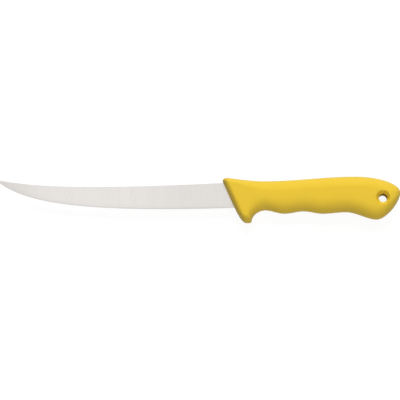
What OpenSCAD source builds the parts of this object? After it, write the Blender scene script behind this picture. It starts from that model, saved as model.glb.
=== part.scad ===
// Fish knife with a thin upswept steel blade and a moulded handle.
// Dimensions are in millimetres. The knife lies on its side: X runs from the point to the butt,
// Y from the cutting edge to the spine, and Z through the thickness.
// The outline is drawn from the handle's front end, level with the blade's spine, and the
// finished pieces are moved so that the origin is under the middle of the knife's box.

/* [Handle outline] */
// Length of the handle from its front end to its butt
handle_length = 142; // [134:1:156]
// Distance from the front end back to where the top line begins
front_set = 3.2; // [2:0.2:4.4]
// Height of the top line at the front, above the blade's spine
front_height = 4.1; // [2.6:0.1:5]
// Distance from the front end to the lowest place of the top line
saddle_x = 32.5; // [29:0.5:38]
// Height of that place above the blade's spine
saddle_height = 1.35; // [0.4:0.05:2]
// Distance from the butt to the highest place of the top line
palm_from_butt = 36; // [30:1:42]
// Height of that place above the blade's spine
palm_height = 5.1; // [3.6:0.1:6.4]
// Depth of the butt's corner below the blade's spine
butt_depth = 8.2; // [6:0.2:11]

/* [Finger guard] */
// Distance from the front end to the lowest place of the guard
guard_x = 20; // [18:0.5:20.5]
// Depth of the guard's tip below the blade's spine
guard_depth = 32.5; // [29:0.5:36]
// Distance from the front end to the guard's upright back
guard_back_x = 22.9; // [22.6:0.1:24]
// Radius of the corner between the guard's tip and its back
guard_corner_r = 1.7; // [0.8:0.1:2]
// How far the front face bulges ahead of the first full section
front_bulge = 4.6; // [4:0.1:6]

/* [Finger grooves] */
// Distance from the front end to the first groove
groove_1_x = 33.6; // [31:0.2:36]
// Depth of the first groove below the blade's spine
groove_1_depth = 22.2; // [21.4:0.1:23]
// Distance from the front end to the first crest
crest_1_x = 49; // [46:0.5:53]
// Depth of the first crest below the blade's spine
crest_1_depth = 24.9; // [24:0.1:26.5]
// Distance from the front end to the second groove
groove_2_x = 64.5; // [61:0.5:68]
// Depth of the second groove below the blade's spine
groove_2_depth = 23; // [22:0.1:24]
// Distance from the front end to the second crest
crest_2_x = 79.5; // [76:0.5:83]
// Depth of the second crest below the blade's spine
crest_2_depth = 24.9; // [24:0.1:26.5]
// Distance from the butt to the third groove
groove_3_from_butt = 43.5; // [40:0.5:46]
// Depth of the third groove below the blade's spine
groove_3_depth = 23.7; // [22.6:0.1:25]
// Distance from the butt to the pommel's lowest place
belly_from_butt = 18.4; // [15:0.2:21]
// Depth of the pommel's lowest place below the blade's spine
belly_depth = 29.7; // [27:0.2:33]

/* [Handle thickness] */
// Thickness across the guard
guard_width = 18; // [15:0.2:21]
// Thickness at the waist behind the guard
waist_width = 16.6; // [14:0.2:19]
// Distance from the front end to the waist
waist_x = 46; // [40:1:54]
// Thickness at the palm
palm_width = 19; // [16:0.2:23]
// Thickness at the pommel
pommel_width = 18; // [13:0.2:19]

/* [Handle section] */
// Height of the rounded top shoulder at the front end
front_top_shoulder = 5; // [3:0.2:8]
// Height of the rounded top shoulder along the grip
top_shoulder = 10; // [7:0.2:11]
// Height of the rounded bottom shoulder at the guard
guard_low_shoulder = 8; // [7:0.2:12]
// Height of the rounded bottom shoulder along the grip
low_shoulder = 12; // [9:0.2:13]

/* [Hanging hole] */
// Radius of the hole
hole_r = 3.45; // [2:0.05:4]
// Width of the coned rim at each end of the hole
rim_width = 2.85; // [1.5:0.05:3.6]
// Radius of the rounding at the rim's outer edge
rim_round = 0.9; // [0.8:0.1:2]
// Distance from the butt to the middle of the hole
hole_from_butt = 14.2; // [12.5:0.1:16.5]
// Depth of the hole's middle below the blade's spine
hole_depth = 12.9; // [10.5:0.1:14]

/* [Blade] */
// Length of the blade from the point to the handle's front end
blade_length = 181; // [150:1:215]
// Height of the blade where it enters the handle
blade_height = 19.9; // [17:0.1:22]
// Thickness of the sheet at the handle
blade_thickness = 2.2; // [1.4:0.1:3]
// Thickness of the spine at the point
point_thickness = 0.9; // [0.5:0.1:1.3]
// Height of the ground cutting bevel
bevel_height = 1.4; // [0.6:0.1:2.2]
// Thickness of the blade where the cutting bevel begins
bevel_thickness = 0.5; // [0.3:0.05:0.8]
// Thickness left at the cutting edge
edge_thickness = 0.12; // [0.08:0.01:0.25]

/* [Blade outline] */
// Rise of the point above the spine at the handle
point_rise = 1.8; // [-2:0.2:6]
// Height of the blunt end of the point
point_blunt = 0.5; // [0.3:0.1:1]
// Length over which the spine leaves the heel nearly straight
spine_run = 154; // [130:1:170]
// Dip that the spine heads for over that length
spine_dip = 7.8; // [4:0.1:12]
// Length over which the spine turns up to the point
spine_sweep = 19.5; // [12:0.5:30]
// Depth below the point from which that turn starts
spine_sweep_depth = 2.1; // [0.5:0.1:4]
// Length over which the edge leaves the heel nearly straight
edge_run = 130; // [110:1:150]
// Sag that the edge heads for over that length
edge_sag = 4.6; // [1:0.2:7]
// Length over which the edge turns up to the point
edge_sweep = 21.4; // [14:0.2:32]
// Depth below the point from which that turn starts
edge_sweep_depth = 17.8; // [14:0.2:20]

/* [Tang] */
// Distance from the front end to the blade's hidden heel
heel_x = 14.8; // [13:0.2:17]
// Rise of the spine at the hidden heel
heel_rise = 0.7; // [0:0.1:1.2]
// Length of the tang that laps the ground blade
tang_lap = 4; // [2:0.5:5]
// Distance from the front end to the tang's rear end
tang_end_x = 108; // [90:1:112]
// Height of the tang
tang_height = 11; // [8:0.5:13]
// Depth of the tang's top below the spine
tang_drop = 4.8; // [4:0.2:6.5]
// Radius of each hole that the moulded plastic fills
tang_hole_r = 2.2; // [1.5:0.1:3]
// Distance from the front end to the first of them
tang_hole_x = 36; // [30:1:42]
// Distance between those holes
tang_hole_pitch = 28; // [14:0.5:34]
// Clearance between the steel and the plastic round it
tang_clearance = 0.05; // [0.02:0.01:0.1]

/* [Hidden] */
steel_color = [0.88, 0.87, 0.86];
plastic_color = [0.90, 0.76, 0.24];

// Roundness of the outline's closing curves, where 2 is an ellipse
guard_back_power = 1.75;
face_top_power = 11;
face_low_power = 2.5;
face_side_power = 2.3;
butt_face_power = 1.48;
butt_side_power = 2.6;
// How far behind the guard's tip the sections stand upright
lean_fade = 46;
// Least part of a section's height that stays flat between its shoulders
least_flat = 0.1;
// How far round the rim of the hole is rounded before its cone runs straight
rim_turn = 52;
// Share of the blade's length that the handle's cutter follows
cutter_share = 0.12;

// Steps round each shoulder, and sections in each stretch of the handle
shoulder_steps = 10;
face_rings = 16;
corner_rings = 4;
back_rings = 12;
groove_step = 2.2;
butt_rings = 18;
// Steps along the blade, along a hole's rim and round each kind of hole
blade_steps = 64;
rim_steps = 8;
hole_fn = 64;
tang_end_fn = 48;
tang_hole_fn = 32;

palm_x = handle_length - palm_from_butt;
groove_3_x = handle_length - groove_3_from_butt;
belly_x = handle_length - belly_from_butt;
hole_x = handle_length - hole_from_butt;

// Step from 0 to 1 with level ends
function ease(t) = t <= 0 ? 0 : t >= 1 ? 1 : t * t * (3 - 2 * t);

// Height at x of a line that lies level at each knot, given as [x, height], and eases between them
function wave(knots, x, i = 0) =
    i >= len(knots) - 1 ? knots[0][1] :
    (knots[i + 1][1] - knots[i][1]) * ease((x - knots[i][0]) / (knots[i + 1][0] - knots[i][0]))
    + wave(knots, x, i + 1);

// Quarter of a rounded corner: 1 where t is 0, and 0 where t is 1
function quarter(t, power) = pow(max(0, 1 - pow(min(1, max(0, t)), power)), 1 / power);

// Whole multiples of a step that fill a length
function steps(length, step) = max(2, ceil(length / step));

// Top line of the handle
function top_y(x) =
    x <= saddle_x ? saddle_height + (front_height - saddle_height)
        * pow((saddle_x - x) / (saddle_x - front_set), 1.5) :
    x <= palm_x ? wave([[saddle_x, saddle_height], [palm_x, palm_height]], x) :
    -butt_depth + (palm_height + butt_depth) * quarter((x - palm_x) / palm_from_butt, 2);

// Bottom line of the handle behind the first groove
function bottom_y(x) =
    x <= belly_x ? wave([
        [groove_1_x, -groove_1_depth], [crest_1_x, -crest_1_depth],
        [groove_2_x, -groove_2_depth], [crest_2_x, -crest_2_depth],
        [groove_3_x, -groove_3_depth], [belly_x, -belly_depth]], x) :
    -butt_depth - (belly_depth - butt_depth) * quarter((x - belly_x) / belly_from_butt, butt_face_power);

// Bottom line as points, from the guard's tip round its back and along the grip to the butt
function corner_points() = [
    for (i = [0 : corner_rings]) let (a = 90 * i / corner_rings)
        [guard_back_x - guard_corner_r * (1 - sin(a)), -guard_depth + guard_corner_r * (1 - cos(a))]];

function back_points() = let (
        start_y = guard_corner_r - guard_depth,
        run = groove_1_x - guard_back_x,
        rise = -groove_1_depth - start_y)
    [for (i = [1 : back_rings]) let (a = 90 * i / back_rings)
        [groove_1_x - run * pow(cos(a), 2 / guard_back_power),
         start_y + rise * pow(sin(a), 2 / guard_back_power)]];

function grip_points() = let (n = steps(belly_x - groove_1_x, groove_step))
    [for (i = [1 : n]) let (x = groove_1_x + (belly_x - groove_1_x) * i / n) [x, bottom_y(x)]];

function butt_points() = [
    for (i = [1 : butt_rings]) let (x = belly_x + belly_from_butt * sin(90 * i / butt_rings))
        [x, bottom_y(x)]];

bottom_line = concat(
    [[guard_x, -guard_depth]], corner_points(), back_points(), grip_points(), butt_points());

// The top end of each section leans towards the front, less and less along the grip
function top_point(low) = let (
        fade = max(0, 1 - (low[0] - guard_x) / lean_fade),
        x = low[0] - (guard_x - front_set) * fade * fade)
    [x, top_y(x)];

// Half of the thickness at x, measured along the top line
function half_width(x) =
    x <= palm_x ? wave([[front_set, guard_width], [waist_x, waist_width], [palm_x, palm_width]], x) / 2 :
    wave([[palm_x, palm_width], [hole_x, pommel_width]], x) / 2
        * quarter((x - hole_x) / hole_from_butt, butt_side_power);

// Heights of a section's two shoulders, from where its top and bottom ends stand
function shoulders(top_x, low_x) = [
    wave([[front_set, front_top_shoulder], [groove_1_x, top_shoulder]], top_x),
    wave([[guard_x, guard_low_shoulder], [groove_1_x, low_shoulder]], low_x)];

// Sections as [top point, bottom point, half of the thickness, heights of the shoulders]
function grip_sections() = [
    for (low = bottom_line) let (top = top_point(low))
        [top, low, half_width(top[0]), shoulders(top[0], low[0])]];

// Sections of the bulged front face, from its middle out to the first full section
function face_sections() = let (
        low = bottom_line[0],
        top = top_point(low),
        middle = (top + low) / 2,
        along = (low - top) / norm(low - top),
        ahead = [along[1], -along[0]])
    [for (i = [0 : face_rings - 1]) let (
            q = cos(90 * i / face_rings),
            shift = middle + ahead * front_bulge * q)
        [shift + (top - middle) * quarter(q, face_top_power),
         shift + (low - middle) * quarter(q, face_low_power),
         half_width(top[0]) * quarter(q, face_side_power),
         shoulders(top[0], low[0])]];

sections = concat(face_sections(), grip_sections());

// One side of a section from its top to its bottom, as [share of the height, share of the thickness]:
// a flat between two elliptic shoulders
function side_points(section) = let (
        height = norm(section[0] - section[1]),
        span = max(height, (section[3][0] + section[3][1]) / (1 - least_flat)),
        turns = [for (i = [0 : shoulder_steps]) 90 * i / shoulder_steps])
    concat(
        [for (a = turns) [1 - section[3][0] / span * (1 - cos(a)), sin(a)]],
        [for (a = turns) [section[3][1] / span * (1 - sin(a)), cos(a)]]);

// Points of one section, down one side and up the other
function ring(section) = let (
        side = side_points(section),
        both = concat(side, [for (i = [len(side) - 2 : -1 : 1]) [side[i][0], -side[i][1]]]))
    [for (p = both) let (place = section[1] + (section[0] - section[1]) * p[0])
        [place[0], place[1], section[2] * p[1]]];

// Closed solid through rings of points whose first and last ring have shrunk to one point
module loft(rings) {
    n = len(rings[0]);
    last = len(rings) - 1;
    points = concat([rings[0][0]], [for (k = [1 : last - 1]) each rings[k]], [rings[last][0]]);
    function at(k, i) = 1 + (k - 1) * n + i % n;
    polyhedron(points, concat(
        [for (i = [0 : n - 1]) [0, at(1, i), at(1, i + 1)]],
        [for (k = [1 : last - 2], i = [0 : n - 1]) each [
            [at(k, i), at(k + 1, i + 1), at(k, i + 1)],
            [at(k, i), at(k + 1, i), at(k + 1, i + 1)]]],
        [for (i = [0 : n - 1]) [at(last - 1, i), len(points) - 1, at(last - 1, i + 1)]]));
}

// Point of a cubic curve at u, pulled towards its two middle points
function curve(p, u) =
    pow(1 - u, 3) * p[0] + 3 * u * pow(1 - u, 2) * p[1] + 3 * u * u * (1 - u) * p[2] + pow(u, 3) * p[3];

// Spine and edge of the blade, from the heel inside the handle to the point
spine_line = [
    [heel_x, heel_rise],
    [heel_x - spine_run, -spine_dip],
    [spine_sweep - blade_length, point_rise - spine_sweep_depth],
    [-blade_length, point_rise + point_blunt / 2]];
edge_line = [
    [heel_x, -blade_height],
    [heel_x - edge_run, -blade_height - edge_sag],
    [edge_sweep - blade_length, point_rise - edge_sweep_depth],
    [-blade_length, point_rise - point_blunt / 2]];

// Six corners of the blade's wedge at u, grown on all sides: two at the spine, and a pair at the
// shoulder and at the edge of the cutting bevel
function wedge(u, grow) = let (
        top = curve(spine_line, u),
        low = curve(edge_line, u),
        height = norm(top - low),
        up = (top - low) / height,
        shoulder = low + up * min(bevel_height, height * 0.4),
        spine_half = (blade_thickness + (point_thickness - blade_thickness) * u) / 2 + grow,
        bevel_half = bevel_thickness / 2 + grow,
        edge_half = edge_thickness / 2 + grow,
        high = top + up * grow,
        deep = low - up * grow)
    [[high[0], high[1], spine_half], [high[0], high[1], -spine_half],
     [shoulder[0], shoulder[1], -bevel_half], [deep[0], deep[1], -edge_half],
     [deep[0], deep[1], edge_half], [shoulder[0], shoulder[1], bevel_half]];

// Ground part of the blade from the heel to u_end
module ground_blade(grow = 0, u_end = 1) {
    n = max(4, ceil(blade_steps * u_end));
    rings = [for (k = [0 : n]) [for (p = wedge(u_end * k / n, grow)) k == 0 ? p + [grow, 0, 0] : p]];
    polyhedron([for (r = rings) each r], concat(
        [[0, 1, 2, 3, 4, 5]],
        [for (k = [0 : n - 1], i = [0 : 5]) each [
            [k * 6 + i, (k + 1) * 6 + (i + 1) % 6, k * 6 + (i + 1) % 6],
            [k * 6 + i, (k + 1) * 6 + i, (k + 1) * 6 + (i + 1) % 6]]],
        [[for (i = [5 : -1 : 0]) n * 6 + i]]));
}

// Tang that the handle is moulded round, grown on all sides
module tang(grow = 0) {
    start_x = heel_x - tang_lap;
    round_x = tang_end_x - tang_height / 2;
    middle_y = -tang_drop - tang_height / 2;
    thickness = blade_thickness + 2 * grow;
    difference() {
        union() {
            translate([start_x - grow, middle_y - tang_height / 2 - grow, -thickness / 2])
                cube([round_x - start_x + grow, tang_height + 2 * grow, thickness]);
            translate([round_x, middle_y, 0])
                cylinder(r = tang_height / 2 + grow, h = thickness, center = true, $fn = tang_end_fn);
        }
        for (x = [tang_hole_x : tang_hole_pitch : round_x])
            translate([x, middle_y, 0])
                cylinder(r = tang_hole_r - grow, h = 2 * thickness, center = true, $fn = tang_hole_fn);
    }
}

// Hanging hole, coned at each face of the handle, with the cone's outer edge rounded
module hanging_hole() {
    face = pommel_width / 2;
    mouth_r = hole_r + rim_width;
    rim = [for (i = [rim_steps : -1 : 0]) let (a = rim_turn * i / rim_steps)
        [mouth_r - rim_round * sin(a), face - rim_round * (1 - cos(a))]];
    neck = rim[0][1] - (rim[0][0] - hole_r) * tan(rim_turn);
    mouth = concat([[0, neck], [hole_r, neck]], rim, [[mouth_r, 2 * face], [0, 2 * face]]);
    translate([hole_x, -hole_depth, 0]) {
        cylinder(r = hole_r, h = 2 * neck + rim_round, center = true, $fn = hole_fn);
        for (side = [0, 1])
            mirror([0, 0, side])
                rotate_extrude($fn = hole_fn)
                    polygon(mouth);
    }
}

// The outline's extremes, which place the knife over its origin
low_y = min([for (s = sections) s[1][1]]);
high_y = max([for (s = sections) s[0][1]]);
half_z = max([for (s = sections) s[2]]);

// Moves what is drawn from the handle's front end to stand on the part's origin
module place() {
    translate([(blade_length - handle_length) / 2, -(low_y + high_y) / 2, half_z])
        children();
}

module blade() {
    color(steel_color)
        place()
            union() {
                ground_blade();
                tang();
            }
}

module handle() {
    color(plastic_color)
        place()
            difference() {
                loft([for (s = sections) ring(s)]);
                ground_blade(tang_clearance, cutter_share);
                tang(tang_clearance);
                hanging_hole();
            }
}

blade();
handle();
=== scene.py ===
"""Fish knife: a satin steel blade in a yellow moulded handle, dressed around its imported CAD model."""

import math

import bmesh
import bpy
from bpy.props import FloatProperty, FloatVectorProperty, PointerProperty
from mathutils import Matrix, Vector


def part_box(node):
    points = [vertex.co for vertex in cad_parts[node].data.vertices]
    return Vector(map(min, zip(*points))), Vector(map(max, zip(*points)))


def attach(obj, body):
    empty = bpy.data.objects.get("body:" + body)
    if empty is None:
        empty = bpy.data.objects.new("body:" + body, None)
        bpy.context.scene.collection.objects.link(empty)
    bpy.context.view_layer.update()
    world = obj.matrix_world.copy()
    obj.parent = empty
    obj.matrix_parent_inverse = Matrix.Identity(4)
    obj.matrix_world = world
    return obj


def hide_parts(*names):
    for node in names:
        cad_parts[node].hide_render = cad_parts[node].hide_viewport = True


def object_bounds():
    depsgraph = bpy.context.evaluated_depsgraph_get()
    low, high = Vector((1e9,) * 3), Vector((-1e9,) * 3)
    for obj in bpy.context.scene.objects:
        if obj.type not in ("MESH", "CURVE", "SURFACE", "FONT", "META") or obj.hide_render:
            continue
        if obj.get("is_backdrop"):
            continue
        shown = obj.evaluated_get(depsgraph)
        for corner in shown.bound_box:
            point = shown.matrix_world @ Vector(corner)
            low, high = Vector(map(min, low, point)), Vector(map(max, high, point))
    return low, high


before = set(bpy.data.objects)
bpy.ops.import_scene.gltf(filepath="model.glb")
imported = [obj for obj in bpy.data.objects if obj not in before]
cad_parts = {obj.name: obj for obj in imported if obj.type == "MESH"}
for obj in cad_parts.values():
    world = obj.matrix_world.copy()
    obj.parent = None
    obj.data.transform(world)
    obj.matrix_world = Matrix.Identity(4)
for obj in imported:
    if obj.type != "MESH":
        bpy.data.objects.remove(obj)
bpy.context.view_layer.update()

bl_info = {
    "name": "Fish Knife",
    "version": (1, 0, 0),
    "blender": (4, 5, 0),
    "location": "3D View > Sidebar > Fish Knife",
    "description": "Models a fish knife with a steel blade and a moulded handle",
    "category": "Object",
}

BODY = "root"

# Power of the top line's rise from its lowest place to the front end
FRONT_RISE_POWER = 1.5
# Roundness of the outline's closing curves, where 2 is an ellipse
GUARD_BACK_POWER = 1.75
FACE_TOP_POWER = 11.0
FACE_LOW_POWER = 3.0
FACE_SIDE_POWER = 2.3
BUTT_TOP_POWER = 2.0
BUTT_FACE_POWER = 1.48
BUTT_SIDE_POWER = 2.6
# Half length over which the corner under the pommel is rounded, and the step that finds a slope
BELLY_ROUND = 0.0026
SLOPE_STEP = 0.0001

# Least part of a section's height that stays flat between its shoulders
LEAST_FLAT = 0.1
# Most of a section's half thickness, and of its height, that the mould seam takes near the ends
SEAM_WIDTH_SHARE = 0.2
SEAM_HEIGHT_SHARE = 0.02

# Sections in each stretch of the handle, and steps round each shoulder of a section
FACE_RINGS = 16
CORNER_RINGS = 8
BACK_RINGS = 26
GRIP_RINGS = 84
BUTT_RINGS = 40
SHOULDER_STEPS = 18
# Steps along the blade, round the hole and along its rounded rim
BLADE_STEPS = 150
HOLE_STEPS = 96
RIM_STEPS = 12
# Steps round the tang's end and round each of its holes
TANG_END_STEPS = 24
TANG_HOLE_STEPS = 40
# How far a rim's rounding turns, in degrees, before its cone runs straight
RIM_TURN = 52.0
# How far the hole's cutter reaches, in half thicknesses of the pommel
CUTTER_REACH = 3
# Distance under which the cutter's points are merged
MERGE_DISTANCE = 1e-7
# Where points stand along the blade's flat, as parts of the way from its spine to its bevel
FLAT_PARTS = (0.0, 0.015, 0.1, 0.55, 0.8, 0.9, 0.985, 1.0)
# Part of the cutting bevel that has faded out where it ends
BEVEL_FADE = 0.85
# Most of the blade's height that the bevel and the spine's rounding take near the point
BEVEL_SHARE = 0.4
ROUND_SHARE = 0.2
# Most of the spine's half thickness that its rounding takes, and where the rounding's middle stands
ROUND_WIDTH_SHARE = 0.6
ROUND_MIDDLE = 0.3
# Angle under which neighbouring faces shade as one surface
SMOOTH_ANGLE = math.radians(38)

# Darkest and brightest tone of the plastic and of the steel, against their colours
PLASTIC_TONES = (0.97, 1.03)
STEEL_TONES = (0.96, 1.04)
# Painted shade on the plastic of the hanging hole's neck, against its colour, and the width of the lip
# where the neck ends
NECK_PAINTED_SHADE = 0.72
NECK_LIP = 0.00015
# Tone of the steel in its fine grinding lines and in its few long scuffs
LINE_TONE = 0.93
SCUFF_TONE = 0.94
# How the steel's marks are drawn out along its grinding lines, which run across the blade
GRIND_STRETCH = (1.0, 0.06, 1.0)
# How much painted shade darkens the steel at its point, towards the handle and along its edge
POINT_PAINTED_SHADE = 0.11
HEEL_PAINTED_SHADE = 0.05
EDGE_PAINTED_SHADE = 0.04
# Length over which the painted shade fades out behind the point
POINT_FADE = 0.050
# Distance ahead of the handle from which painted shade darkens the steel, and the length over which it
# grows
HEEL_START = 0.075
HEEL_FADE = 0.045
# Width over which the painted shade fades out above the edge
EDGE_FADE = 0.0045

# The photograph's frame: pixels across, and what one of them spans on the knife
FRAME_PIXELS = 400
PIXEL = 0.0008
# Pixels at which the handle's front end and the level of the blade's spine stand
FRONT_PIXEL_X = 223.0
SPINE_PIXEL_Y = 182.8
# Distance of the camera from the knife, its height in degrees, and its sensor's width in millimetres
CAMERA_DISTANCE = 3.0
CAMERA_ELEVATION = 82.0
SENSOR = 36.0
# How far the camera sees, as a multiple of its distance
CAMERA_REACH = 4
# How far the floor reaches each way from the knife
FLOOR_REACH = 4.0
# The backdrop as the camera sees it: how much light it gives back, and how brightly it glows
PAPER_TONE = 0.16
PAPER_GLOW = 0.90
# Side of each softbox, the place on the handle that they face, and their distance from it
LAMP_SIZE = 1.0
LAMP_AIM = (0.08, 0.0, 0.01)
LAMP_DISTANCE = 1.6
# Way to each softbox: degrees down from straight overhead, and degrees round from the butt
LAMP_WAYS = {"Key": (50.0, 90.0), "Top": (15.0, 330.0), "Fill": (70.0, 270.0)}


def size(name, words, value):
    """A length in metres that the sidebar shows."""
    return FloatProperty(name=name, description=words, default=value, unit="LENGTH", precision=4)


def spot(name, words, x, y):
    """Two lengths in metres that the sidebar shows, most often a place and the height there."""
    return FloatVectorProperty(name=name, description=words, default=(x, y), size=2, unit="LENGTH",
                               precision=4)


def shade(name, words, value):
    """A colour that the sidebar shows."""
    return FloatVectorProperty(name=name, description=words, default=value, size=3,
                               subtype="COLOR", min=0.0, max=1.0)


def lamp_power(name, words, value):
    """A lamp's power in watts that the sidebar shows."""
    return FloatProperty(name=name, description=words, default=value, min=0.0, unit="POWER")


class KnifeHandleSizes(bpy.types.PropertyGroup):
    length: size("Length", "From the front end to the butt", 0.142)
    front: spot("Front", "Start of the top line, and its height", 0.0032, 0.0041)
    saddle: spot("Saddle", "Lowest place of the top line, and its height", 0.0325, 0.00135)
    palm: spot("Palm", "Highest place of the top line, measured from the butt, and its height",
               0.036, 0.0051)
    butt_depth: size("Butt depth", "Depth of the butt's corner below the spine", 0.0082)
    guard: spot("Guard", "Lowest place of the guard, and its depth", 0.020, 0.0325)
    guard_back: size("Guard back", "From the front end to the guard's upright back", 0.0229)
    guard_corner: size("Guard corner", "Radius between the guard's tip and its back", 0.0017)
    bulge: size("Front bulge", "How far the front face bulges", 0.0046)
    groove_1: spot("First groove", "Place and depth of the first groove", 0.0336, 0.0222)
    crest_1: spot("First crest", "Place and depth of the first crest", 0.049, 0.0249)
    groove_2: spot("Second groove", "Place and depth of the second groove", 0.0645, 0.023)
    crest_2: spot("Second crest", "Place and depth of the second crest", 0.0795, 0.0249)
    groove_3: spot("Third groove", "Place, measured from the butt, and depth", 0.0435, 0.0237)
    belly: spot("Pommel", "Lowest place, measured from the butt, and its depth", 0.0184, 0.0297)
    guard_width: size("Guard thickness", "Thickness across the guard", 0.018)
    waist: spot("Waist", "Place of the waist, and its thickness", 0.046, 0.0166)
    palm_width: size("Palm thickness", "Thickness at the palm", 0.019)
    pommel_width: size("Pommel thickness", "Thickness at the pommel", 0.018)
    front_shoulders: spot("Front shoulders", "Heights of the rounded top and bottom shoulder in front",
                          0.005, 0.008)
    shoulders: spot("Grip shoulders", "Heights of the rounded top and bottom shoulder along the grip",
                    0.010, 0.012)
    lean_fade: size("Lean fade", "How far behind the guard's tip the sections stand upright", 0.046)
    hole: spot("Hanging hole", "Place, measured from the butt, and depth", 0.0142, 0.0129)
    hole_r: size("Hole radius", "Radius of the hanging hole", 0.00345)
    rim_width: size("Rim width", "Width of the coned rim at each end of the hole", 0.00285)
    rim_round: size("Rim rounding", "Radius of the rounding at the rim's outer edge", 0.0009)
    seam_width: size("Seam width", "Half width of the mould seam", 0.00028)
    seam_height: size("Seam height", "Height of the mould seam", 0.00007)
    color: shade("Plastic", "Colour of the moulded plastic", (0.743, 0.506, 0.037))


class KnifeBladeSizes(bpy.types.PropertyGroup):
    length: size("Length", "From the point to the handle's front end", 0.181)
    height: size("Height", "Height where the blade enters the handle", 0.0199)
    thickness: size("Thickness", "Thickness of the sheet at the handle", 0.0022)
    point_thickness: size("Point thickness", "Thickness of the spine at the point", 0.0009)
    point_rise: size("Point rise", "Rise of the point above the spine at the handle", 0.0018)
    point_blunt: size("Point height", "Height of the blunt end of the point", 0.0005)
    bevel_height: size("Bevel height", "Height of the ground cutting bevel", 0.0014)
    bevel_thickness: size("Bevel thickness", "Thickness where the cutting bevel begins", 0.0005)
    edge_thickness: size("Edge thickness", "Thickness left at the cutting edge", 0.00012)
    bevel_stop: size("Bevel stop", "Distance behind the front end where the bevel ends", 0.007)
    bevel_runout: size("Bevel run-out", "Length over which the bevel fades out", 0.006)
    spine_round: size("Spine rounding", "Radius at the corners of the spine", 0.00025)
    heel: spot("Hidden heel", "Place of the heel inside the handle, and rise of its spine",
               0.0148, 0.0007)
    spine_run: spot("Spine run", "Length of the straight run, and the dip it heads for", 0.154, 0.0078)
    spine_sweep: spot("Spine sweep", "Length of the turn to the point, and its depth", 0.0195, 0.0021)
    edge_run: spot("Edge run", "Length of the straight run, and the sag it heads for", 0.130, 0.0046)
    edge_sweep: spot("Edge sweep", "Length of the turn to the point, and its depth", 0.0214, 0.0178)
    tang: spot("Tang", "Place of the tang's end, and depth of its top", 0.108, 0.0048)
    tang_height: size("Tang height", "Height of the tang", 0.011)
    tang_lap: size("Tang lap", "Length of the tang that laps the blade", 0.004)
    tang_hole_r: size("Tang hole radius", "Radius of each hole in the tang", 0.0022)
    tang_hole: spot("Tang holes", "Place of the first hole, and the distance between them", 0.036, 0.028)
    color: shade("Steel", "Colour of the satin steel", (0.829, 0.798, 0.772))
    bevel_color: shade("Bevel", "Colour of the ground cutting bevel", (0.62, 0.60, 0.58))


class KnifeStageLook(bpy.types.PropertyGroup):
    backdrop: shade("Backdrop", "Colour that the camera sees behind the knife", (1.0, 1.0, 1.0))
    floor: shade("Floor", "Pale colour that the floor gives back to the knife", (0.30, 0.30, 0.30))
    ambient: FloatProperty(name="Ambient", description="Level of light from all round",
                           default=0.03, min=0.0)
    key: lamp_power("Key light", "Power of the soft light on the spine's side", 27.3)
    top: lamp_power("Top light", "Power of the soft light above the butt", 9.1)
    fill: lamp_power("Fill light", "Power of the low soft light on the edge's side", 7.6)


def ease(t):
    """Step from 0 to 1 with level ends."""
    t = min(1.0, max(0.0, t))
    return t * t * (3.0 - 2.0 * t)


def wave(knots, x):
    """Height at x of a line that lies level at each knot and eases between them."""
    height = knots[0][1]
    for (x_0, y_0), (x_1, y_1) in zip(knots, knots[1:]):
        height += (y_1 - y_0) * ease((x - x_0) / (x_1 - x_0))
    return height


def quarter(t, power):
    """Quarter of a rounded corner: 1 where t is 0, and 0 where t is 1."""
    return max(0.0, 1.0 - min(1.0, max(0.0, t)) ** power) ** (1.0 / power)


def curve_point(points, u):
    """Point of a cubic curve that is pulled towards its two middle points."""
    a, b, c, d = points
    v = 1.0 - u
    return a * v ** 3 + b * 3 * u * v * v + c * 3 * u * u * v + d * u ** 3


def datum():
    """Where the handle's front end meets the level of the spine, in the knife's middle plane."""
    low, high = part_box("handle")
    handle = bpy.context.scene.knife_handle
    return Vector((high.x - handle.length, high.y - handle.palm[1], (low.z + high.z) / 2.0))


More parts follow.
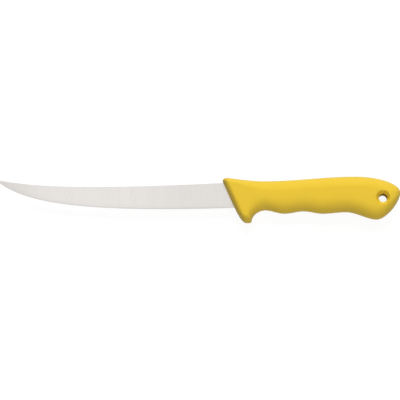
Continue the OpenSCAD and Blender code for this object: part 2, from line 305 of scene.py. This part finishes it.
class HandleShape:
    """The handle's outline, thickness and shoulders along its length."""

    def __init__(self, sizes):
        self.s = sizes
        self.palm_x = sizes.length - sizes.palm[0]
        self.belly_x = sizes.length - sizes.belly[0]
        self.hole_x = sizes.length - sizes.hole[0]
        third_groove = (sizes.length - sizes.groove_3[0], sizes.groove_3[1])
        marks = (sizes.groove_1, sizes.crest_1, sizes.groove_2, sizes.crest_2, third_groove,
                 (self.belly_x, sizes.belly[1]))
        self.grip = [(x, -depth) for x, depth in marks]

    def top(self, x):
        """Height of the top line."""
        s = self.s
        if x <= s.saddle[0]:
            t = (s.saddle[0] - x) / (s.saddle[0] - s.front[0])
            return s.saddle[1] + (s.front[1] - s.saddle[1]) * t ** FRONT_RISE_POWER
        if x <= self.palm_x:
            return wave([tuple(s.saddle), (self.palm_x, s.palm[1])], x)
        rise = s.palm[1] + s.butt_depth
        return -s.butt_depth + rise * quarter((x - self.palm_x) / s.palm[0], BUTT_TOP_POWER)

    def grip_line(self, x):
        """Height of the bottom line behind the first groove, with a corner at the pommel."""
        s = self.s
        if x <= self.belly_x:
            return wave(self.grip, x)
        drop = s.belly[1] - s.butt_depth
        return -s.butt_depth - drop * quarter((x - self.belly_x) / s.belly[0], BUTT_FACE_POWER)

    def bottom(self, x):
        """Height of the bottom line behind the first groove, with that corner rounded."""
        u = (x - self.belly_x) / (2 * BELLY_ROUND) + 0.5
        if not 0.0 < u < 1.0:
            return self.grip_line(x)
        ends = (self.belly_x - BELLY_ROUND, self.belly_x + BELLY_ROUND)
        start, stop = [self.grip_line(end) for end in ends]
        rises = [self.grip_line(end + SLOPE_STEP) - self.grip_line(end - SLOPE_STEP) for end in ends]
        # A third of the way along the rounding, at the slope that the line has at each end
        pull = BELLY_ROUND / (3 * SLOPE_STEP)
        return curve_point((start, start + rises[0] * pull, stop - rises[1] * pull, stop), u)

    def bottom_line(self):
        """Points from the guard's tip round its back and along the grip to the butt."""
        s = self.s
        points = [(s.guard[0], -s.guard[1])]
        for i in range(CORNER_RINGS + 1):
            a = math.pi / 2 * i / CORNER_RINGS
            points.append((s.guard_back - s.guard_corner * (1 - math.sin(a)),
                           -s.guard[1] + s.guard_corner * (1 - math.cos(a))))
        start, run = points[-1][1], s.groove_1[0] - s.guard_back
        for i in range(1, BACK_RINGS + 1):
            a = math.pi / 2 * i / BACK_RINGS
            points.append((s.groove_1[0] - run * max(0.0, math.cos(a)) ** (2 / GUARD_BACK_POWER),
                           start + (-s.groove_1[1] - start) * math.sin(a) ** (2 / GUARD_BACK_POWER)))
        for i in range(1, GRIP_RINGS + 1):
            x = s.groove_1[0] + (self.belly_x - s.groove_1[0]) * i / GRIP_RINGS
            points.append((x, self.bottom(x)))
        for i in range(1, BUTT_RINGS + 1):
            x = self.belly_x + s.belly[0] * math.sin(math.pi / 2 * i / BUTT_RINGS)
            points.append((x, self.bottom(x)))
        return points

    def half_width(self, x):
        """Half of the thickness at x of the top line."""
        s = self.s
        palm = (self.palm_x, s.palm_width)
        if x <= self.palm_x:
            return wave([(s.front[0], s.guard_width), tuple(s.waist), palm], x) / 2
        width = wave([palm, (self.hole_x, s.pommel_width)], x)
        return width / 2 * quarter((x - self.hole_x) / s.hole[0], BUTT_SIDE_POWER)

    def shoulders(self, top_x, low_x):
        """Heights of the two shoulders, from where a section's top and bottom ends stand."""
        s = self.s
        return (wave([(s.front[0], s.front_shoulders[0]), (s.groove_1[0], s.shoulders[0])], top_x),
                wave([(s.guard[0], s.front_shoulders[1]), (s.groove_1[0], s.shoulders[1])], low_x))

    def sections(self):
        """Sections as (top point, bottom point, half thickness, shoulder heights), front to butt."""
        s = self.s
        full = []
        for x, y in self.bottom_line():
            fade = max(0.0, 1.0 - (x - s.guard[0]) / s.lean_fade)
            top_x = x - (s.guard[0] - s.front[0]) * fade * fade
            full.append((Vector((top_x, self.top(top_x))), Vector((x, y)), self.half_width(top_x),
                         self.shoulders(top_x, x)))
        top, low, width, shoulders = full[0]
        middle = (top + low) / 2
        along = (low - top).normalized()
        ahead = Vector((along.y, -along.x)) * s.bulge
        face = []
        for i in range(FACE_RINGS):
            q = math.cos(math.pi / 2 * i / FACE_RINGS)
            # Both ends leave the first full section level, which keeps the face's corners full
            shift = middle + Vector((ahead.x * q, ahead.y * q * q))
            face.append((shift + (top - middle) * quarter(q, FACE_TOP_POWER),
                         shift + (low - middle) * quarter(q, FACE_LOW_POWER),
                         width * quarter(q, FACE_SIDE_POWER), shoulders))
        return face + full


def side_points(section, sizes):
    """One side of a section, top to bottom, as (share of its height, part of its half thickness)."""
    top, low, width, shoulders = section
    height = (top - low).length
    span = max(height, sum(shoulders) / (1.0 - LEAST_FLAT))
    seam = min(sizes.seam_width, width * SEAM_WIDTH_SHARE) / width if width else 0.0
    first = math.asin(seam)
    turns = [first + (math.pi / 2 - first) * i / SHOULDER_STEPS for i in range(SHOULDER_STEPS + 1)]
    upper = [(1.0 - shoulders[0] / span * (1.0 - math.cos(a)), math.sin(a)) for a in turns]
    lower = [(shoulders[1] / span * (1.0 - math.cos(a)), math.sin(a)) for a in reversed(turns)]
    sink = min(sizes.seam_height / height, SEAM_HEIGHT_SHARE) if height else 0.0
    inset = [(sink + share * (1.0 - 2.0 * sink), part) for share, part in upper + lower]
    return [(1.0, 0.0)] + inset + [(0.0, 0.0)]


def set_ring(verts, layer, section, sizes):
    """Moves one ring of points to its section, with the mould seam standing at its top and bottom."""
    top, low, width, _ = section
    side = side_points(section, sizes)
    both = side + [(share, -part) for share, part in side[-2:0:-1]]
    for vert in verts:
        share, part = both[vert[layer]]
        point = low + (top - low) * share
        vert.co = (point.x, point.y, width * part)


def first_ring(bm, count, radius):
    """A loop of points to start from, and the layer that numbers them."""
    layer = bm.verts.layers.int.new("place")
    ring = bmesh.ops.create_circle(bm, segments=count, radius=radius)["verts"]
    for index, vert in enumerate(ring):
        vert[layer] = index
    return ring, layer


def extruded_ring(bm, verts):
    """Extrudes the loop of edges through verts and returns the new loop's points."""
    ring = set(verts)
    # A dictionary keeps each edge once, in the same order on each run
    edges = dict.fromkeys(e for v in verts for e in v.link_edges if e.other_vert(v) in ring)
    grown = bmesh.ops.extrude_edge_only(bm, edges=list(edges))["geom"]
    return [g for g in grown if isinstance(g, bmesh.types.BMVert)]


def new_piece(name, bm, place):
    """Turns a bmesh into an object whose mesh stands at its place in the frame."""
    bmesh.ops.translate(bm, verts=bm.verts[:], vec=place)
    bmesh.ops.recalc_face_normals(bm, faces=bm.faces[:])
    mesh = bpy.data.meshes.new(name)
    bm.to_mesh(mesh)
    bm.free()
    piece = bpy.data.objects.new(name, mesh)
    bpy.context.scene.collection.objects.link(piece)
    return piece


def combine(piece, tool, operation):
    """Cuts or joins a piece with a tool object, which is then deleted."""
    modifier = piece.modifiers.new(operation.title(), "BOOLEAN")
    modifier.operation = operation
    modifier.solver = "EXACT"
    modifier.object = tool
    graph = bpy.context.evaluated_depsgraph_get()
    mesh = bpy.data.meshes.new_from_object(piece.evaluated_get(graph))
    piece.modifiers.clear()
    piece.data = mesh
    bpy.data.objects.remove(tool)


def shade_smooth(piece):
    """Shades gentle bends smooth and keeps real corners sharp."""
    piece.data.shade_smooth()
    piece.data.set_sharp_from_angle(angle=SMOOTH_ANGLE)


def moulded_body(sizes):
    """The handle's closed body, extruded ring by ring from its front face to its butt."""
    sections = HandleShape(sizes).sections()
    bm = bmesh.new()
    points = 2 * len(side_points(sections[0], sizes)) - 2
    ring, layer = first_ring(bm, points, sizes.guard_width)
    set_ring(ring, layer, sections[0], sizes)
    first = ring
    for section in sections[1:]:
        ring = extruded_ring(bm, ring)
        set_ring(ring, layer, section, sizes)
    for end in (first, ring):
        bmesh.ops.pointmerge(bm, verts=end, merge_co=end[0].co.copy())
    return new_piece("handle_moulding", bm, datum())


def hole_middle(sizes):
    """Middle of the hanging hole."""
    return datum() + Vector((sizes.length - sizes.hole[0], -sizes.hole[1], 0.0))


def hole_cutter(sizes):
    """A plug of the hanging hole with its coned rims, spun about the hole's axis."""
    face = sizes.pommel_width / 2
    turn = math.radians(RIM_TURN)
    outer = sizes.hole_r + sizes.rim_width
    rim = []
    for i in range(RIM_STEPS + 1):
        a = turn * i / RIM_STEPS
        rim.append((outer - sizes.rim_round * math.sin(a), face - sizes.rim_round * (1 - math.cos(a))))
    cone_r, cone_z = rim[-1]
    neck = (sizes.hole_r, cone_z - (cone_r - sizes.hole_r) * math.tan(turn))
    lip = (neck[0] + NECK_LIP, neck[1] + NECK_LIP * math.tan(turn))
    upper = [neck, lip] + rim[::-1] + [(outer, CUTTER_REACH * face), (0.0, CUTTER_REACH * face)]
    profile = [(r, -z) for r, z in reversed(upper)] + upper
    bm = bmesh.new()
    verts = [bm.verts.new((r, 0.0, z)) for r, z in profile]
    edges = [bm.edges.new(pair) for pair in zip(verts, verts[1:])]
    bmesh.ops.spin(bm, geom=verts + edges, cent=(0, 0, 0), axis=(0, 0, 1), angle=math.tau,
                   steps=HOLE_STEPS, use_merge=True)
    bmesh.ops.remove_doubles(bm, verts=bm.verts[:], dist=MERGE_DISTANCE)
    return new_piece("hole_cutter", bm, hole_middle(sizes))


def mark_neck(piece, sizes):
    """Stores on each point whether it's on the hanging hole's neck, which the plastic darkens with
    painted shade and turns matt.
    """
    middle = hole_middle(sizes)
    neck = piece.data.attributes.new("neck", "FLOAT", "POINT")
    for vert, mark in zip(piece.data.vertices, neck.data):
        away = (vert.co - middle).xy.length
        mark.value = 1.0 if away < sizes.hole_r + NECK_LIP / 2 else 0.0


class BladeShape:
    """The blade's spine, edge and wedge."""

    def __init__(self, sizes):
        self.s = sizes
        tip, heel_x = -sizes.length, sizes.heel[0]
        self.spine = [Vector(p) for p in (
            (heel_x, sizes.heel[1]),
            (heel_x - sizes.spine_run[0], -sizes.spine_run[1]),
            (tip + sizes.spine_sweep[0], sizes.point_rise - sizes.spine_sweep[1]),
            (tip, sizes.point_rise + sizes.point_blunt / 2))]
        self.edge = [Vector(p) for p in (
            (heel_x, -sizes.height),
            (heel_x - sizes.edge_run[0], -sizes.height - sizes.edge_run[1]),
            (tip + sizes.edge_sweep[0], sizes.point_rise - sizes.edge_sweep[1]),
            (tip, sizes.point_rise - sizes.point_blunt / 2))]

    def wedge(self, u):
        """Half of a section at u from the spine down to the edge, as (x, y, half thickness)."""
        s = self.s
        top, low = curve_point(self.spine, u), curve_point(self.edge, u)
        height = (top - low).length
        up = (top - low).normalized()
        runout = 1.0 - BEVEL_FADE * ease((low.x - s.bevel_stop + s.bevel_runout) / s.bevel_runout)
        bevel = min(s.bevel_height * runout, height * BEVEL_SHARE)
        spine_half = (s.thickness + (s.point_thickness - s.thickness) * u) / 2
        rounding = min(s.spine_round, height * ROUND_SHARE, spine_half * ROUND_WIDTH_SHARE)
        bevel_half = s.edge_thickness / 2 + (s.bevel_thickness - s.edge_thickness) / 2 * runout
        flat = height - rounding - bevel

        def ground(part):
            """A point of the flat between the spine's rounding and the bevel."""
            drop = rounding + flat * part
            return (*(top - up * drop), spine_half + (bevel_half - spine_half) * part)

        return [
            (*top, spine_half - rounding),
            (*(top - up * rounding * ROUND_MIDDLE), spine_half - rounding * ROUND_MIDDLE),
            *[ground(part) for part in FLAT_PARTS],
            (*low, s.edge_thickness / 2)]


def ground_sheet(sizes):
    """The visible blade, extruded section by section from its hidden heel to its point."""
    shape = BladeShape(sizes)
    bm = bmesh.new()
    corners = len(shape.wedge(0.0))
    ring, layer = first_ring(bm, 2 * corners, sizes.height)

    def settle(verts, u):
        """Moves one ring of points to the blade's section at u."""
        half = shape.wedge(u)
        for vert in verts:
            i = vert[layer]
            side = 1.0 if i < corners else -1.0
            x, y, z = half[i if i < corners else 2 * corners - 1 - i]
            vert.co = (x, y, side * z)

    settle(ring, 0.0)
    first = ring
    for step in range(1, BLADE_STEPS + 1):
        ring = extruded_ring(bm, ring)
        settle(ring, step / BLADE_STEPS)
    for end in (first, ring):
        bmesh.ops.contextual_create(bm, geom=end)
    return new_piece("blade_steel", bm, datum())


def tang_plate(sizes):
    """The tang that the handle hides: a plate with a round end and holes for the plastic."""
    start = sizes.heel[0] - sizes.tang_lap
    radius = sizes.tang_height / 2
    end_x = sizes.tang[0] - radius
    middle_y = -sizes.tang[1] - radius
    low_z = -sizes.thickness / 2
    bm = bmesh.new()
    corner = bm.verts.new((start, middle_y + radius, low_z))
    shoulder = bm.verts.new((end_x, middle_y + radius, low_z))
    bm.edges.new((corner, shoulder))
    bmesh.ops.spin(bm, geom=[shoulder], cent=(end_x, middle_y, low_z), axis=(0, 0, -1),
                   angle=math.pi, steps=TANG_END_STEPS)
    turned_end = Vector((end_x, middle_y - radius, low_z))
    last = min(bm.verts, key=lambda v: (v.co - turned_end).length)
    far = bm.verts.new((start, middle_y - radius, low_z))
    bm.edges.new((last, far))
    bm.edges.new((far, corner))
    face = bmesh.ops.contextual_create(bm, geom=bm.edges[:])["faces"]
    grown = bmesh.ops.extrude_face_region(bm, geom=face)["geom"]
    bmesh.ops.translate(bm, verts=[g for g in grown if isinstance(g, bmesh.types.BMVert)],
                        vec=(0, 0, sizes.thickness))
    plate = new_piece("tang_plate", bm, datum())
    x = sizes.tang_hole[0]
    while x <= end_x:
        bm = bmesh.new()
        bmesh.ops.create_cone(bm, cap_ends=True, segments=TANG_HOLE_STEPS, radius1=sizes.tang_hole_r,
                              radius2=sizes.tang_hole_r, depth=2 * sizes.thickness)
        combine(plate, new_piece("tang_hole", bm, datum() + Vector((x, middle_y, 0.0))), "DIFFERENCE")
        x += sizes.tang_hole[1]
    return plate


def mark_bevel_and_painted_shade(piece, sizes):
    """Stores on each point whether it's on the cutting edge, and how much painted shade darkens the
    steel there.
    """
    shape = BladeShape(sizes)
    place = datum()
    edge_line = [curve_point(shape.edge, i / BLADE_STEPS) for i in range(BLADE_STEPS + 1)]
    bevel = piece.data.attributes.new("bevel", "FLOAT", "POINT")
    painted_light = piece.data.attributes.new("painted_light", "FLOAT", "POINT")
    for i, vert in enumerate(piece.data.vertices):
        here = Vector((vert.co.x - place.x, vert.co.y - place.y))
        away = min((here - p).length for p in edge_line)
        bevel.data[i].value = 1.0 if away < sizes.edge_thickness else 0.0
        # Painted shade: the steel's colour is darkened near the point, towards the handle and along the
        # edge
        point = POINT_PAINTED_SHADE * (1.0 - ease((here.x + sizes.length) / POINT_FADE))
        heel = HEEL_PAINTED_SHADE * ease((here.x + HEEL_START) / HEEL_FADE)
        painted_light.data[i].value = 1.0 - point - heel - EDGE_PAINTED_SHADE * (1.0 - ease(away / EDGE_FADE))


def node(tree, kind, place, **values):
    """Adds a shader node, with settings by name and socket values by label."""
    made = tree.nodes.new(kind)
    made.location = place
    for key, value in values.items():
        if hasattr(made, key):
            setattr(made, key, value)
        else:
            made.inputs[key.replace("_", " ")].default_value = value
    return made


def fine_marks_group():
    """Node group: uneven tone, fine tooth and stray hairline scuffs on a surface."""
    name = "Fine marks"
    if name in bpy.data.node_groups:
        return bpy.data.node_groups[name]
    tree = bpy.data.node_groups.new(name, "ShaderNodeTree")
    sockets = tree.interface
    sockets.new_socket("Vector", in_out="INPUT", socket_type="NodeSocketVector")
    for label, value in (("Tone scale", 30.0), ("Tooth scale", 2500.0), ("Scuff scale", 60.0)):
        sockets.new_socket(label, in_out="INPUT", socket_type="NodeSocketFloat").default_value = value
    for label in ("Tone", "Tooth", "Scuffs"):
        sockets.new_socket(label, in_out="OUTPUT", socket_type="NodeSocketFloat")
    start = node(tree, "NodeGroupInput", (-700, 0))
    end = node(tree, "NodeGroupOutput", (500, 0))
    tone = node(tree, "ShaderNodeTexNoise", (-400, 250), Detail=4.0, Roughness=0.55)
    tooth = node(tree, "ShaderNodeTexNoise", (-400, 0), Detail=2.0, Roughness=0.5)
    bend = node(tree, "ShaderNodeTexNoise", (-400, -250), Detail=2.0)
    scuff = node(tree, "ShaderNodeTexVoronoi", (-100, -250), feature="DISTANCE_TO_EDGE")
    thin = node(tree, "ShaderNodeMapRange", (150, -250), From_Max=0.012, To_Min=1.0, To_Max=0.0)
    patchy = node(tree, "ShaderNodeMapRange", (150, -500), From_Min=0.56, From_Max=0.66)
    both = node(tree, "ShaderNodeMath", (320, -300), operation="MULTIPLY")
    link = tree.links.new
    for texture in (tone, tooth, bend, scuff):
        link(start.outputs["Vector"], texture.inputs["Vector"])
    link(start.outputs["Tone scale"], tone.inputs["Scale"])
    link(start.outputs["Tooth scale"], tooth.inputs["Scale"])
    link(start.outputs["Scuff scale"], bend.inputs["Scale"])
    link(start.outputs["Scuff scale"], scuff.inputs["Scale"])
    link(scuff.outputs["Distance"], thin.inputs["Value"])
    link(bend.outputs["Fac"], patchy.inputs["Value"])
    link(thin.outputs["Result"], both.inputs[0])
    link(patchy.outputs["Result"], both.inputs[1])
    link(tone.outputs["Fac"], end.inputs["Tone"])
    link(tooth.outputs["Fac"], end.inputs["Tooth"])
    link(both.outputs["Value"], end.inputs["Scuffs"])
    return tree


def fresh_material(name):
    """A new node material, its tree and its Principled shader."""
    material = bpy.data.materials.new(name)
    material.use_nodes = True
    tree = material.node_tree
    return material, tree, tree.nodes["Principled BSDF"]


def marks_node(tree, place, stretch, **scales):
    """The fine marks on a piece's own coordinates, stretched per axis."""
    coords = node(tree, "ShaderNodeTexCoord", (place[0] - 500, place[1]))
    mapping = node(tree, "ShaderNodeMapping", (place[0] - 300, place[1]))
    mapping.inputs["Scale"].default_value = stretch
    marks = node(tree, "ShaderNodeGroup", place, node_tree=fine_marks_group())
    for label, value in scales.items():
        marks.inputs[label.replace("_", " ")].default_value = value
    tree.links.new(coords.outputs["Object"], mapping.inputs["Vector"])
    tree.links.new(mapping.outputs["Vector"], marks.inputs["Vector"])
    return marks


def scaled(color, level):
    """A colour made darker or lighter by a level."""
    return tuple(min(1.0, c * level) for c in color)


def tinted(tree, place, factor, color, tones):
    """A colour that varies between two tones by a varying factor."""
    mix = node(tree, "ShaderNodeMix", place, data_type="RGBA")
    mix.inputs["A"].default_value = (*scaled(color, tones[0]), 1.0)
    mix.inputs["B"].default_value = (*scaled(color, tones[1]), 1.0)
    tree.links.new(factor, mix.inputs["Factor"])
    return mix.outputs["Result"]


def moulded_plastic(color):
    """Satin yellow polypropylene with the fine tooth of its mould, faint uneven tone and painted shade
    in the hanging hole's neck.
    """
    material, tree, shader = fresh_material("Moulded polypropylene")
    marks = marks_node(tree, (-500, 200), (1.0, 1.0, 1.0), Tone_scale=34.0, Tooth_scale=2600.0)
    neck = node(tree, "ShaderNodeAttribute", (-700, 450), attribute_name="neck")
    uneven = tinted(tree, (-350, 300), marks.outputs["Tone"], color, PLASTIC_TONES)
    # Painted shade: the base colour is darkened on the neck of the hanging hole
    painted_neck_shade = node(tree, "ShaderNodeMix", (-150, 400), data_type="RGBA")
    painted_neck_shade.inputs["B"].default_value = (*scaled(color, NECK_PAINTED_SHADE), 1.0)
    tree.links.new(neck.outputs["Fac"], painted_neck_shade.inputs["Factor"])
    tree.links.new(uneven, painted_neck_shade.inputs["A"])
    tree.links.new(painted_neck_shade.outputs["Result"], shader.inputs["Base Color"])
    rough = node(tree, "ShaderNodeMapRange", (-350, 50), To_Min=0.50, To_Max=0.60)
    matt = node(tree, "ShaderNodeMix", (-150, 100), data_type="FLOAT")
    matt.inputs["B"].default_value = 1.0
    tree.links.new(marks.outputs["Tone"], rough.inputs["Value"])
    tree.links.new(neck.outputs["Fac"], matt.inputs["Factor"])
    tree.links.new(rough.outputs["Result"], matt.inputs["A"])
    tree.links.new(matt.outputs["Result"], shader.inputs["Roughness"])
    bump = node(tree, "ShaderNodeBump", (-250, -200), Strength=0.12, Distance=0.0001)
    tree.links.new(marks.outputs["Tooth"], bump.inputs["Height"])
    tree.links.new(bump.outputs["Normal"], shader.inputs["Normal"])
    shader.inputs["IOR"].default_value = 1.49
    return material


def steel_painted_shade_and_marks(tree, marks):
    """How bright the steel is, from the painted shade on its part of the blade, its grinding lines and
    its scuffs.
    """
    painted_light = node(tree, "ShaderNodeAttribute", (-1100, 650), attribute_name="painted_light")
    lines = node(tree, "ShaderNodeMapRange", (-1100, 900), From_Min=0.3, From_Max=0.7, To_Min=LINE_TONE)
    scuffs = node(tree, "ShaderNodeMapRange", (-1100, 1150), To_Min=1.0, To_Max=SCUFF_TONE)
    ground = node(tree, "ShaderNodeMath", (-900, 900), operation="MULTIPLY")
    level = node(tree, "ShaderNodeMath", (-700, 800), operation="MULTIPLY")
    tree.links.new(marks.outputs["Tooth"], lines.inputs["Value"])
    tree.links.new(marks.outputs["Scuffs"], scuffs.inputs["Value"])
    tree.links.new(lines.outputs["Result"], ground.inputs[0])
    tree.links.new(scuffs.outputs["Result"], ground.inputs[1])
    tree.links.new(painted_light.outputs["Fac"], level.inputs[0])
    tree.links.new(ground.outputs["Value"], level.inputs[1])
    return level.outputs["Value"]


def satin_steel(color, bevel_color):
    """Stainless steel ground across its length, with a finer ground cutting bevel and painted shade near
    its point, the handle and its edge.
    """
    material, tree, shader = fresh_material("Satin steel")
    marks = marks_node(tree, (-700, 200), GRIND_STRETCH, Tone_scale=90.0, Tooth_scale=3200.0,
                       Scuff_scale=40.0)
    bevel = node(tree, "ShaderNodeAttribute", (-700, -200), attribute_name="bevel")
    satin = tinted(tree, (-650, 450), marks.outputs["Tone"], color, STEEL_TONES)
    painted_shade_steel = node(tree, "ShaderNodeMix", (-420, 500), data_type="RGBA")
    painted_shade_steel.inputs["A"].default_value = (0.0, 0.0, 0.0, 1.0)
    # The steel's colour carries painted shade near the point, the handle and the edge, besides its
    # grinding lines and scuffs
    tree.links.new(steel_painted_shade_and_marks(tree, marks), painted_shade_steel.inputs["Factor"])
    tree.links.new(satin, painted_shade_steel.inputs["B"])
    mix = node(tree, "ShaderNodeMix", (-200, 300), data_type="RGBA")
    mix.inputs["B"].default_value = (*bevel_color, 1.0)
    tree.links.new(bevel.outputs["Fac"], mix.inputs["Factor"])
    tree.links.new(painted_shade_steel.outputs["Result"], mix.inputs["A"])
    tree.links.new(mix.outputs["Result"], shader.inputs["Base Color"])
    rough = node(tree, "ShaderNodeMapRange", (-200, 50), To_Min=0.26, To_Max=0.36)
    tree.links.new(marks.outputs["Tooth"], rough.inputs["Value"])
    tree.links.new(rough.outputs["Result"], shader.inputs["Roughness"])
    bump = node(tree, "ShaderNodeBump", (-200, -200), Strength=0.08, Distance=0.00004)
    tree.links.new(marks.outputs["Tooth"], bump.inputs["Height"])
    tree.links.new(bump.outputs["Normal"], shader.inputs["Normal"])
    shader.inputs["Metallic"].default_value = 1.0
    return material


def seen_only(tree, place):
    """Mask that is 1 for what the camera sees directly, in a reflection or through something clear."""
    path = node(tree, "ShaderNodeLightPath", (place[0] - 400, place[1]))
    glossy = node(tree, "ShaderNodeMath", (place[0] - 200, place[1]), operation="MAXIMUM")
    clear = node(tree, "ShaderNodeMath", place, operation="MAXIMUM")
    tree.links.new(path.outputs["Is Camera Ray"], glossy.inputs[0])
    tree.links.new(path.outputs["Is Glossy Ray"], glossy.inputs[1])
    tree.links.new(glossy.outputs["Value"], clear.inputs[0])
    tree.links.new(path.outputs["Is Transmission Ray"], clear.inputs[1])
    return clear.outputs["Value"]


class KNIFE_OT_handle(bpy.types.Operator):
    """Model the moulded handle with its guard, grooves, pommel and hanging hole"""
    bl_idname = "knife.handle"
    bl_label = "Moulded Handle"

    def execute(self, context):
        sizes = context.scene.knife_handle
        piece = moulded_body(sizes)
        combine(piece, hole_cutter(sizes), "DIFFERENCE")
        mark_neck(piece, sizes)
        shade_smooth(piece)
        piece.data.materials.append(moulded_plastic(tuple(sizes.color)))
        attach(piece, BODY)
        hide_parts("handle")
        return {"FINISHED"}


class KNIFE_OT_blade(bpy.types.Operator):
    """Model the ground steel blade with its upswept point, cutting bevel and hidden tang"""
    bl_idname = "knife.blade"
    bl_label = "Steel Blade"

    def execute(self, context):
        sizes = context.scene.knife_blade
        piece = ground_sheet(sizes)
        combine(piece, tang_plate(sizes), "UNION")
        mark_bevel_and_painted_shade(piece, sizes)
        shade_smooth(piece)
        piece.data.materials.append(satin_steel(tuple(sizes.color), tuple(sizes.bevel_color)))
        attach(piece, BODY)
        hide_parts("blade")
        return {"FINISHED"}


class KNIFE_OT_stage(bpy.types.Operator):
    """Set the camera, the pale floor and the soft studio light"""
    bl_idname = "knife.stage"
    bl_label = "Camera and Stage"

    def execute(self, context):
        look = context.scene.knife_stage
        self.make_camera(context)
        self.make_floor(context, look)
        self.make_lights(context, look)
        context.scene.view_settings.view_transform = "Standard"
        return {"FINISHED"}

    def make_camera(self, context):
        """A long lens square above the knife's side, tipped a little towards its edge."""
        middle = FRAME_PIXELS / 2
        aim = datum() + Vector(((middle - FRONT_PIXEL_X) * PIXEL, (SPINE_PIXEL_Y - middle) * PIXEL, 0.0))
        lens = bpy.data.cameras.new("Camera")
        lens.sensor_width = SENSOR
        lens.lens = SENSOR * CAMERA_DISTANCE / (FRAME_PIXELS * PIXEL)
        lens.clip_end = CAMERA_REACH * CAMERA_DISTANCE
        camera = bpy.data.objects.new("Camera", lens)
        tilt = math.radians(CAMERA_ELEVATION)
        away = Vector((0.0, -math.cos(tilt), math.sin(tilt)))
        camera.location = aim + away * CAMERA_DISTANCE
        camera.rotation_euler = (-away).to_track_quat("-Z", "Y").to_euler()
        context.scene.collection.objects.link(camera)
        context.scene.camera = camera

    def make_floor(self, context, look):
        """A wide pale floor under the knife, which the camera sees as the white backdrop."""
        low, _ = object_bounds()
        bm = bmesh.new()
        bmesh.ops.create_grid(bm, x_segments=1, y_segments=1, size=FLOOR_REACH)
        floor = new_piece("floor", bm, Vector((0.0, 0.0, low.z)))
        material, tree, shader = fresh_material("Pale floor")
        shader.inputs["Base Color"].default_value = (*look.floor, 1.0)
        shader.inputs["Roughness"].default_value = 1.0
        shader.inputs["Specular IOR Level"].default_value = 0.0
        seen = seen_only(tree, (-200, 400))
        paper = node(tree, "ShaderNodeBsdfDiffuse", (-200, 200),
                     Color=(PAPER_TONE, PAPER_TONE, PAPER_TONE, 1.0))
        glow = node(tree, "ShaderNodeEmission", (-200, 0), Color=(*look.backdrop, 1.0),
                    Strength=PAPER_GLOW)
        both = node(tree, "ShaderNodeAddShader", (0, 100))
        pick = node(tree, "ShaderNodeMixShader", (200, 200))
        tree.links.new(paper.outputs["BSDF"], both.inputs[0])
        tree.links.new(glow.outputs["Emission"], both.inputs[1])
        tree.links.new(seen, pick.inputs["Fac"])
        tree.links.new(shader.outputs["BSDF"], pick.inputs[1])
        tree.links.new(both.outputs["Shader"], pick.inputs[2])
        tree.links.new(pick.outputs["Shader"], tree.nodes["Material Output"].inputs["Surface"])
        floor.data.materials.append(material)
        floor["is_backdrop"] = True

    def make_lights(self, context, look):
        """Weak light from all round, and soft light from the spine's side, above and the edge's side."""
        world = bpy.data.worlds.new("Studio")
        context.scene.world = world
        world.use_nodes = True
        tree = world.node_tree
        seen = seen_only(tree, (-200, 400))
        light = tree.nodes["Background"]
        light.inputs["Color"].default_value = (1.0, 1.0, 1.0, 1.0)
        light.inputs["Strength"].default_value = look.ambient
        white = node(tree, "ShaderNodeBackground", (-200, 0), Color=(*look.backdrop, 1.0), Strength=1.0)
        pick = node(tree, "ShaderNodeMixShader", (100, 200))
        tree.links.new(seen, pick.inputs["Fac"])
        tree.links.new(light.outputs["Background"], pick.inputs[1])
        tree.links.new(white.outputs["Background"], pick.inputs[2])
        tree.links.new(pick.outputs["Shader"], tree.nodes["World Output"].inputs["Surface"])
        powers = {"Key": look.key, "Top": look.top, "Fill": look.fill}
        for name, (tilt, turn) in LAMP_WAYS.items():
            lamp = bpy.data.lights.new(name, "AREA")
            lamp.shape = "SQUARE"
            lamp.size = LAMP_SIZE
            lamp.energy = powers[name]
            softbox = bpy.data.objects.new(name, lamp)
            a, b = math.radians(tilt), math.radians(turn)
            way = Vector((math.sin(a) * math.cos(b), math.sin(a) * math.sin(b), math.cos(a)))
            softbox.location = Vector(LAMP_AIM) + way * LAMP_DISTANCE
            softbox.rotation_euler = way.to_track_quat("Z", "Y").to_euler()
            softbox.visible_glossy = False
            context.scene.collection.objects.link(softbox)


class KNIFE_PT_sidebar(bpy.types.Panel):
    """Sizes, colours and pieces of the fish knife"""
    bl_idname = "KNIFE_PT_sidebar"
    bl_label = "Fish Knife"
    bl_space_type = "VIEW_3D"
    bl_region_type = "UI"
    bl_category = "Fish Knife"

    def draw(self, context):
        for title, group, operator in SIDEBAR:
            box = self.layout.box()
            box.label(text=title)
            settings = getattr(context.scene, group)
            for key in settings.__annotations__:
                box.prop(settings, key)
            box.operator(operator)


SIDEBAR = (
    ("Handle", "knife_handle", "knife.handle"),
    ("Blade", "knife_blade", "knife.blade"),
    ("Stage", "knife_stage", "knife.stage"),
)
CLASSES = (KnifeHandleSizes, KnifeBladeSizes, KnifeStageLook, KNIFE_OT_handle, KNIFE_OT_blade,
           KNIFE_OT_stage, KNIFE_PT_sidebar)


def register():
    """Registers the classes and hangs their settings on the scene."""
    for item in CLASSES:
        bpy.utils.register_class(item)
    bpy.types.Scene.knife_handle = PointerProperty(type=KnifeHandleSizes)
    bpy.types.Scene.knife_blade = PointerProperty(type=KnifeBladeSizes)
    bpy.types.Scene.knife_stage = PointerProperty(type=KnifeStageLook)


def unregister():
    """Takes the settings and the classes away again."""
    for _, group, _ in SIDEBAR:
        delattr(bpy.types.Scene, group)
    for item in reversed(CLASSES):
        bpy.utils.unregister_class(item)


def main():
    """Builds the pieces and the stage."""
    register()
    bpy.ops.knife.handle()
    bpy.ops.knife.blade()
    bpy.ops.knife.stage()


if __name__ == "__main__":
    main()
